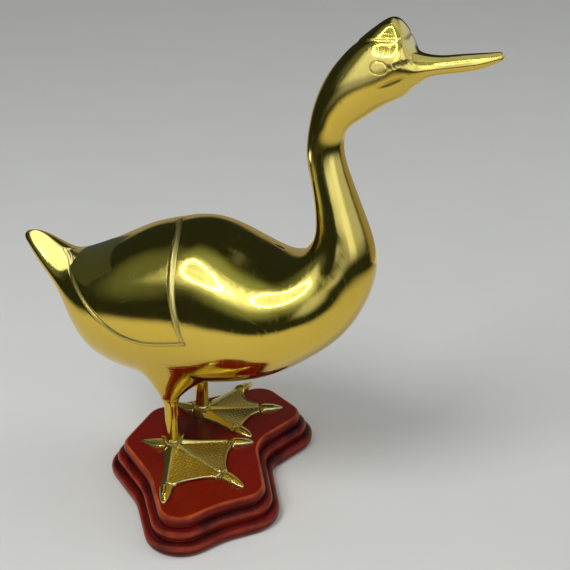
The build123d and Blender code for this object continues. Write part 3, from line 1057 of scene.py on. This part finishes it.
def toe_scutes(ankle, heading, reach, side):
    """Row of low scutes along one flank of a toe's ridge."""
    ahead, left = heading_way(heading)
    off, sunk = 0.75, 0.05
    first_share, last_share, count = 0.2, 0.66, 12
    line = []
    for share in np.linspace(first_share, last_share, count):
        flat = ankle + share * reach * ahead + side * off * left
        line.append((*flat, base_top + crest_at(share) - flank_slope * off - sunk))
    made = path_object("scutes", line)
    row = made.modifiers.new("scutes", "NODES")
    row.node_group = scutes
    sizes = {"Pitch": 1.7, "Scute length": 1.25, "Scute width": 1.0, "Scute height": 0.6}
    for name, value in sizes.items():
        row[scute_sizes[name]] = value * MM
    return finished_mesh(made)


def rub_claws(mesh, ankle, toes):
    """Marks the tops of the claws as rubbed bright."""
    rubbed_from, rubbed_to = 0.8, 2.6
    ridge = read_all(mesh.attributes["ridge"].data, "value", 1, np.float32)[:, 0]
    flat = read_all(mesh.vertices, "co", 3, np.float32)[:, :2] / MM - ankle
    for heading, reach in toes:
        ahead, left = heading_way(heading)
        top = soft_step(-np.abs(flat @ left), -rubbed_to, -rubbed_from)
        on_claw = soft_step(flat @ ahead / reach, claw_root + 0.02, claw_root + 0.1)
        ridge = np.maximum(ridge, top * on_claw)
    set_mark(mesh, "ridge", ridge)


def webbed_foot(name, node, y, toes, rear_heading):
    """Cast foot: web, toes, claws, rear toe and ankle fused, with scutes along the toes."""
    ankle = np.array([0, y])
    rows = [(radius, base_top + high) for radius, high in ankle_rows]
    knuckle = bare_object("ankle", *lathe(rows, ankle, 40))
    solids = [web_and_toes(ankle, toes), rear_leaf(ankle, rear_heading)]
    solids += [ankle_ear(ankle, heading) for heading in ear_headings]
    mesh = combined(knuckle, solids, "UNION")
    mark_wear_and_shade(mesh, sharp=0.8, passes=1)
    rub_claws(mesh, ankle, toes)
    joined = bmesh.new()
    joined.from_mesh(mesh)
    for heading, reach in toes:
        for side in (-1, 1):
            joined.from_mesh(toe_scutes(ankle, heading, reach, side))
    joined.to_mesh(mesh)
    joined.free()
    mesh.shade_smooth()
    mesh.set_sharp_from_angle(angle=math.radians(50))
    return placed(name, mesh, foot_brass, node)


webbed_foot("right_webbed_foot", "right_foot", leg_y, right_toes, right_rear)
webbed_foot("left_webbed_foot", "left_foot", -leg_y, left_toes, left_rear)

# Base: corners of the outline before rounding, in percents of its depth and length, from between the legs
base_long, base_deep = 148.0, 107.0
corner_round, notch_round, waist_round = 20.0, 15.0, 45.0
notch, left_waist, front_waist = (46, 3.5), (-5.8, -35.6), (47.5, -42)
base_corners = [(-35, 11.5), (-35.3, -18.8), left_waist, (26.5, -67), front_waist, (69, -26.5), notch,
                (61, 31), (20, 48.5)]
inner_rounds = {notch: notch_round, left_waist: waist_round, front_waist: waist_round}
bead_step = 3.8
bead_under, bead_over, arris_round = 0.7, 4.5, 2.0
counterbore_radius, counterbore_deep, stud_hole_radius = 7.5, 6.4, 2.7
felt_inset = 5.0
corner_points = 24

# Rings of faces drawn in on the flat top and underside, and how far a cutter stands out of the board
end_rings = (0.8, 1.0, 1.5, 2.0)
cutter_past = 1


def base_outline(inset):
    """Rounded outline of the base, drawn in by the inset, anticlockwise."""
    corners = np.array(base_corners) / 100 * (base_deep, base_long)
    rounds = [inner_rounds.get(corner, corner_round) for corner in base_corners]
    line = []
    neighbours = zip(np.roll(corners, 1, 0), corners, np.roll(corners, -1, 0), rounds)
    for before, corner, after, radius in neighbours:
        back, on = unit(before - corner), unit(after - corner)
        half = math.acos(back @ on) / 2
        centre = corner + unit(back + on) * radius / math.sin(half)
        hollow_corner = back[0] * on[1] - back[1] * on[0] > 0
        first = corner + back * radius / math.tan(half) - centre
        last = corner + on * radius / math.tan(half) - centre
        start = math.atan2(first[1], first[0])
        swing = (math.atan2(last[1], last[0]) - start + math.pi) % (2 * math.pi) - math.pi
        size = radius + inset if hollow_corner else radius - inset
        for share in np.linspace(0, 1, corner_points):
            turn = start + share * swing
            line.append(centre + size * np.array([math.cos(turn), math.sin(turn)]))
    return np.array(line)


def moulding_tree():
    """Nodes that run a stack of beads along an outline, each set in, under a tighter top edge."""
    steps = 18
    size_names = ("Beads", "Bead height", "Bead step", "Under depth", "Over depth", "Top depth")
    make, given, sizes = tree_start("moulded_edge", "Outline", size_names, "Edge")
    line = make.node("GeometryNodeMeshLine", inputs={"Count": given["Beads"] * steps})
    share = make.node("GeometryNodeInputIndex") / steps
    bead = make.math("FLOOR", share)
    turn = ((share - bead) * steps / (steps - 1) - 0.5) * math.pi
    top = make.math("GREATER_THAN", bead, given["Beads"] - 1.5)
    over = given["Over depth"] + (given["Top depth"] - given["Over depth"]) * top
    deep = given["Under depth"] + (over - given["Under depth"]) * make.math("GREATER_THAN", turn, 0.0)
    inset = bead * given["Bead step"] + deep * (1 - make.math("COSINE", turn))
    height = (bead + 0.5 + 0.5 * make.math("SINE", turn)) * given["Bead height"]
    spot = make.node("ShaderNodeCombineXYZ", inputs={"X": 0 - inset, "Y": 0 - height})
    profile = make.node("GeometryNodeSetPosition", inputs={"Geometry": line, "Position": spot})
    profile = make.node("GeometryNodeMeshToCurve", inputs={"Mesh": profile})
    edge = make.node("GeometryNodeCurveToMesh", inputs={
        "Curve": given["Outline"], "Profile Curve": profile})
    return tree_end(make, edge, wood), sizes


def moulded_base():
    """Board with its moulded edge, stud holes and counterbores."""
    tree, sizes = moulding_tree()
    outline = base_outline(0)
    edge = path_object("edge", np.column_stack([outline, np.full(len(outline), base_low)]), closed=True)
    run = edge.modifiers.new("edge", "NODES")
    run.node_group = tree
    bead_high = (base_top - base_low) / beads
    run[sizes["Beads"]] = float(beads)
    depths = {"Under depth": bead_under, "Over depth": bead_over, "Top depth": arris_round}
    for name, value in {"Bead height": bead_high, "Bead step": bead_step, **depths}.items():
        run[sizes[name]] = value * MM
    mesh = finished_mesh(edge)
    work = bmesh.new()
    work.from_mesh(mesh)
    open_sides = [side for side in work.edges if side.is_boundary]
    ends = bmesh.ops.holes_fill(work, edges=open_sides, sides=0)["faces"]
    bmesh.ops.recalc_face_normals(work, faces=work.faces)
    for inset in end_rings:
        for end in ends:
            bmesh.ops.inset_region(work, faces=[end], thickness=inset * MM, use_even_offset=True)
    work.to_mesh(mesh)
    work.free()
    board = linked("board", mesh)
    seat = base_low + counterbore_deep
    low, high = base_low - cutter_past, base_top + cutter_past
    rows = [(0, low), (counterbore_radius, low), (counterbore_radius, seat)]
    rows += [(stud_hole_radius, seat), (stud_hole_radius, high), (0, high)]
    holes = [bare_object("hole", *lathe(rows, (0, y), 48)) for y in (leg_y, -leg_y)]
    mesh = combined(board, holes, "DIFFERENCE")
    mark_wear_and_shade(mesh, sharp=0.16, passes=2)
    mesh.shade_smooth()
    mesh.set_sharp_from_angle(angle=math.radians(50))
    return placed("moulded_base", mesh, wood, "wooden_base")


def felt_under():
    """Felt glued under the base, its cut edge a little furred."""
    thick = base_low
    lower_round, upper_round, fur_deep = 0.35, 0.25, 0.12
    rows = [(lower_round, 0), (0, 0.2 * thick), (0, 0.8 * thick), (upper_round, thick)]
    outline = base_outline(felt_inset)
    inward = base_outline(felt_inset + 1) - outline
    count = len(outline)
    fur = np.random.default_rng(3).uniform(0, fur_deep, (len(rows), count, 1))
    shape = [np.column_stack([outline + (inset + f) * inward, np.full(count, height)])
             for (inset, height), f in zip(rows, fur)]
    faces = grid_faces(len(rows), count, True)
    faces += [range(count - 1, -1, -1), range((len(rows) - 1) * count, len(rows) * count)]
    made = piece("felt_under", np.vstack(shape), faces, felt, "felt_pad")


moulded_base()
felt_under()

for node in ("left_washer", "right_washer", "left_nut", "right_nut"):
    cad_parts[node].data.materials.clear()
    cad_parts[node].data.materials.append(steel)

# Camera: height, distance and lens of the photograph
camera_place = Vector((253.4, -488.2, 383.5)) * MM
camera_heading = (-0.369, 0.929)
camera_pitch = math.radians(-26.4)
camera_lens = 72.0
camera = linked("camera", bpy.data.cameras.new("camera"))
level = math.cos(camera_pitch)
looking = Vector((camera_heading[0] * level, camera_heading[1] * level, math.sin(camera_pitch)))
camera.location = camera_place
camera.rotation_mode = "QUATERNION"
camera.rotation_quaternion = looking.to_track_quat("-Z", "Y")
camera.data.lens = camera_lens
camera.data.sensor_width = 36
camera.data.clip_start = 0.01
bpy.context.scene.camera = camera
bpy.context.scene.view_settings.view_transform = "Standard"


# Studio: pale floor and world, soft lamps, and the dim room and lamps that show in the polish
bird_middle = Vector((0.03, 0, 0.13))
room_tint = (0.82, 1.1, 1.2, 1)
cool_tint = (0.87, 1.04, 1.9, 1)
warm_tint = (1.0, 0.9, 0.62, 1)

# Glows of the room: azimuth, elevation, full and fading radius in degrees, brightness
room_glows = [(8, 50, 14, 44, 0.40), (-52, 32, 5, 36, 0.15), (150, 22, 4, 22, 0.15)]
room_dim = 0.026


def toward(azimuth, elevation):
    """Direction from the bird: azimuth from its right side towards its bill, and elevation, in degrees."""
    turn, rise = math.radians(azimuth), math.radians(elevation)
    return Vector((math.sin(turn) * math.cos(rise), -math.cos(turn) * math.cos(rise), math.sin(rise)))


def stage_piece(name, shape, faces, material, only_in_polish):
    """Object of the studio, in metres; some show only in reflections."""
    mesh = new_mesh(name, shape, faces, scale=1)
    mesh.shade_smooth()
    mesh.materials.append(material)
    made = linked(name, mesh)
    made.visible_camera = made.visible_diffuse = made.visible_shadow = not only_in_polish
    return made


def pale_floor():
    """Wide, plain, pale floor."""
    size = 3.0
    make = Finish("pale_floor")
    cloud = make.noise(60, detail=3)
    colour = make.mix(cloud, (0.70, 0.71, 0.70, 1), (0.74, 0.75, 0.74, 1))
    material = make.surface(Base_Color=colour, Roughness=0.9, Specular_IOR_Level=0.0)
    corners = [(-size, -size, 0), (size, -size, 0), (size, size, 0), (-size, size, 0)]
    stage_piece("floor", corners, [(0, 1, 2, 3)], material, False)


def pale_world():
    """World: plain pale light from all round."""
    world = bpy.data.worlds.new("pale")
    bpy.context.scene.world = world
    world.use_nodes = True
    make = Tree(world.node_tree)
    make.tree.nodes.clear()
    back = make.node("ShaderNodeBackground", inputs={"Color": (0.40, 0.40, 0.39, 1), "Strength": 1.0})
    make.node("ShaderNodeOutputWorld", inputs={"Surface": back})


def shining(make, colour, strength, clear):
    """Ends a material in light of a colour and strength, added to a share of what is seen through it."""
    light = make.node("ShaderNodeEmission", inputs={"Color": colour, "Strength": strength})
    share = make.mix(clear, (0, 0, 0, 1), (1, 1, 1, 1))
    through = make.node("ShaderNodeBsdfTransparent", inputs={"Color": share})
    both = make.node("ShaderNodeAddShader", inputs={0: light, 1: through})
    make.node("ShaderNodeOutputMaterial", inputs={"Surface": both})
    make.material.cycles.emission_sampling = "NONE"
    return make.material


def dim_room():
    """Dim room round the bird: the far floor, walls and ceiling, with glows where they are lit."""
    near_edge, far_edge, size, steps = 0.30, 0.55, 1.6, 64
    over_floor = 0.002
    rows = [(radius, over_floor) for radius in (near_edge, far_edge, size)]
    rows += [(size * math.cos(rise), size * math.sin(rise)) for rise in np.linspace(0.05, 1.55, 24)]
    turn = np.linspace(0, 2 * math.pi, steps, endpoint=False)
    shape = [(radius * math.cos(t), radius * math.sin(t), height) for radius, height in rows for t in turn]
    faces = grid_faces(len(rows), steps, True)
    faces.append(range((len(rows) - 1) * steps, len(rows) * steps))
    make = Finish("dim_room")
    way = make.node("ShaderNodeVectorMath", {"operation": "SUBTRACT"}, {0: make.place, 1: bird_middle})
    way = make.node("ShaderNodeVectorMath", {"operation": "NORMALIZE"}, {0: way})
    level = room_dim
    for azimuth, elevation, inner, outer, bright in room_glows:
        near = make.node("ShaderNodeVectorMath", {"operation": "DOT_PRODUCT"}, {
            0: way, 1: toward(azimuth, elevation)}, out="Value")
        low, high = math.cos(math.radians(outer)), math.cos(math.radians(inner))
        level = make.step(near, low, high) * bright + level
    away = make.node("ShaderNodeVectorMath", {"operation": "LENGTH"}, {0: make.place}, out="Value")
    there = make.step(away, near_edge, far_edge)
    stage_piece("dim_room", shape, faces, shining(make, room_tint, level * there, 1 - there), True)


def ring_lamp(way, distance, radius, thick, strength):
    """Ring-shaped lamp facing the bird from a direction."""
    steps, around = 64, 12
    side = way.cross(Vector((0, 0, 1))).normalized()
    up = side.cross(way)
    shape = []
    for turn in np.linspace(0, 2 * math.pi, steps, endpoint=False):
        out = math.cos(turn) * side + math.sin(turn) * up
        for roll in np.linspace(0, 2 * math.pi, around, endpoint=False):
            reach = radius + thick * math.cos(roll)
            shape.append(bird_middle + way * (distance + thick * math.sin(roll)) + out * reach)
    grid = np.arange(steps * around).reshape(steps, around)
    corners = grid, np.roll(grid, -1, 1), np.roll(np.roll(grid, -1, 1), -1, 0), np.roll(grid, -1, 0)
    faces = np.stack(corners, -1).reshape(-1, 4).tolist()
    light = shining(Finish("ring_light"), (1, 1, 1, 1), strength, 0.0)
    stage_piece("ring_lamp", shape, faces, light, True)


def soft_glow(name, centre, across, along, wide, long, strength, tint=cool_tint):
    """Sheet of light that adds to what is behind it, fading towards its edges."""
    fade_from = 0.3
    corners = ((-1, -1), (1, -1), (1, 1), (-1, 1))
    shape = [centre + a * wide / 2 * across + b * long / 2 * along for a, b in corners]
    make = Finish(name)
    from_centre = make.node("ShaderNodeVectorMath", {"operation": "SUBTRACT"}, {0: make.place, 1: centre})
    share = 1.0
    for way, size in ((across, wide), (along, long)):
        off = make.node("ShaderNodeVectorMath", {"operation": "DOT_PRODUCT"}, {
            0: from_centre, 1: way}, out="Value")
        share = make.step(make.math("ABSOLUTE", off), size / 2, size * fade_from) * share
    stage_piece(name, shape, [(0, 1, 2, 3)], shining(make, tint, share * strength, 1.0), True)


def upright_glow(name, azimuth, distance, wide, low, high, strength, tint=cool_tint):
    """Soft glow standing beside the bird between two heights."""
    centre = bird_middle + toward(azimuth, 0) * distance
    centre.z = (low + high) / 2
    soft_glow(name, centre, toward(azimuth + 90, 0), toward(0, 90), wide, high - low, strength, tint)


def dim_flag(name, x, y_from, y_to, z_from, z_to, level):
    """Upright sheet across the bird, dim as the room, which keeps a glow out of the polish before it."""
    corners = [(x, y_from, z_from), (x, y_to, z_from), (x, y_to, z_to), (x, y_from, z_to)]
    stage_piece(name, corners, [(0, 1, 2, 3)], shining(Finish(name), room_tint, level, 0.0), True)


def soft_lamp(name, way, distance, size, watts):
    """Round soft box that lights the bird from a direction; its shape doesn't show in the polish."""
    lamp = linked(name, bpy.data.lights.new(name, "AREA"))
    lamp.data.shape = "DISK"
    lamp.data.size = size
    lamp.data.energy = watts
    lamp.location = bird_middle + way * distance
    lamp.rotation_mode = "QUATERNION"
    lamp.rotation_quaternion = (-way).to_track_quat("-Z", "Y")
    lamp.visible_glossy = False


pale_floor()
pale_world()
dim_room()
ring_lamp(toward(-18, 46), 0.8, 0.18, 0.015, 15.0)
upright_glow("front_glow", -5, 0.19, 0.46, 0.19, 0.42, 0.50)
soft_glow("head_glow", Vector((0.11, -0.14, 0.27)), toward(75, 0), toward(0, 90), 0.34, 0.20, 0.45)
soft_glow("bill_glow", Vector((0.33, -0.06, 0.30)), toward(0, 0), toward(0, 90), 0.50, 0.36, 0.60)
soft_glow("wall_glow", Vector((0.27, 0.20, 0.34)), toward(235, 0), toward(0, 90), 0.32, 0.26, 0.55)
upright_glow("side_glow", 45, 0.36, 0.56, 0.10, 0.55, 0.65)
upright_glow("back_glow", 180, 0.32, 1.10, -0.10, 0.26, 0.30, warm_tint)
soft_glow("tail_glow", Vector((-0.084, -0.002, 0.140)), toward(90, 0), toward(180, 0), 0.05, 0.06, 1.9)
dim_flag("tail_flag", -0.0595, -0.03, 0.03, 0.118, 0.141, 0.075)
soft_glow("over_bill", Vector((0.145, 0.02, 0.33)), toward(90, 0), toward(180, 0), 0.14, 0.12, 0.55)
soft_lamp("key", toward(-25, 49), 0.95, 0.5, 5)
soft_lamp("fill", toward(125, 40), 1.2, 0.6, 2)
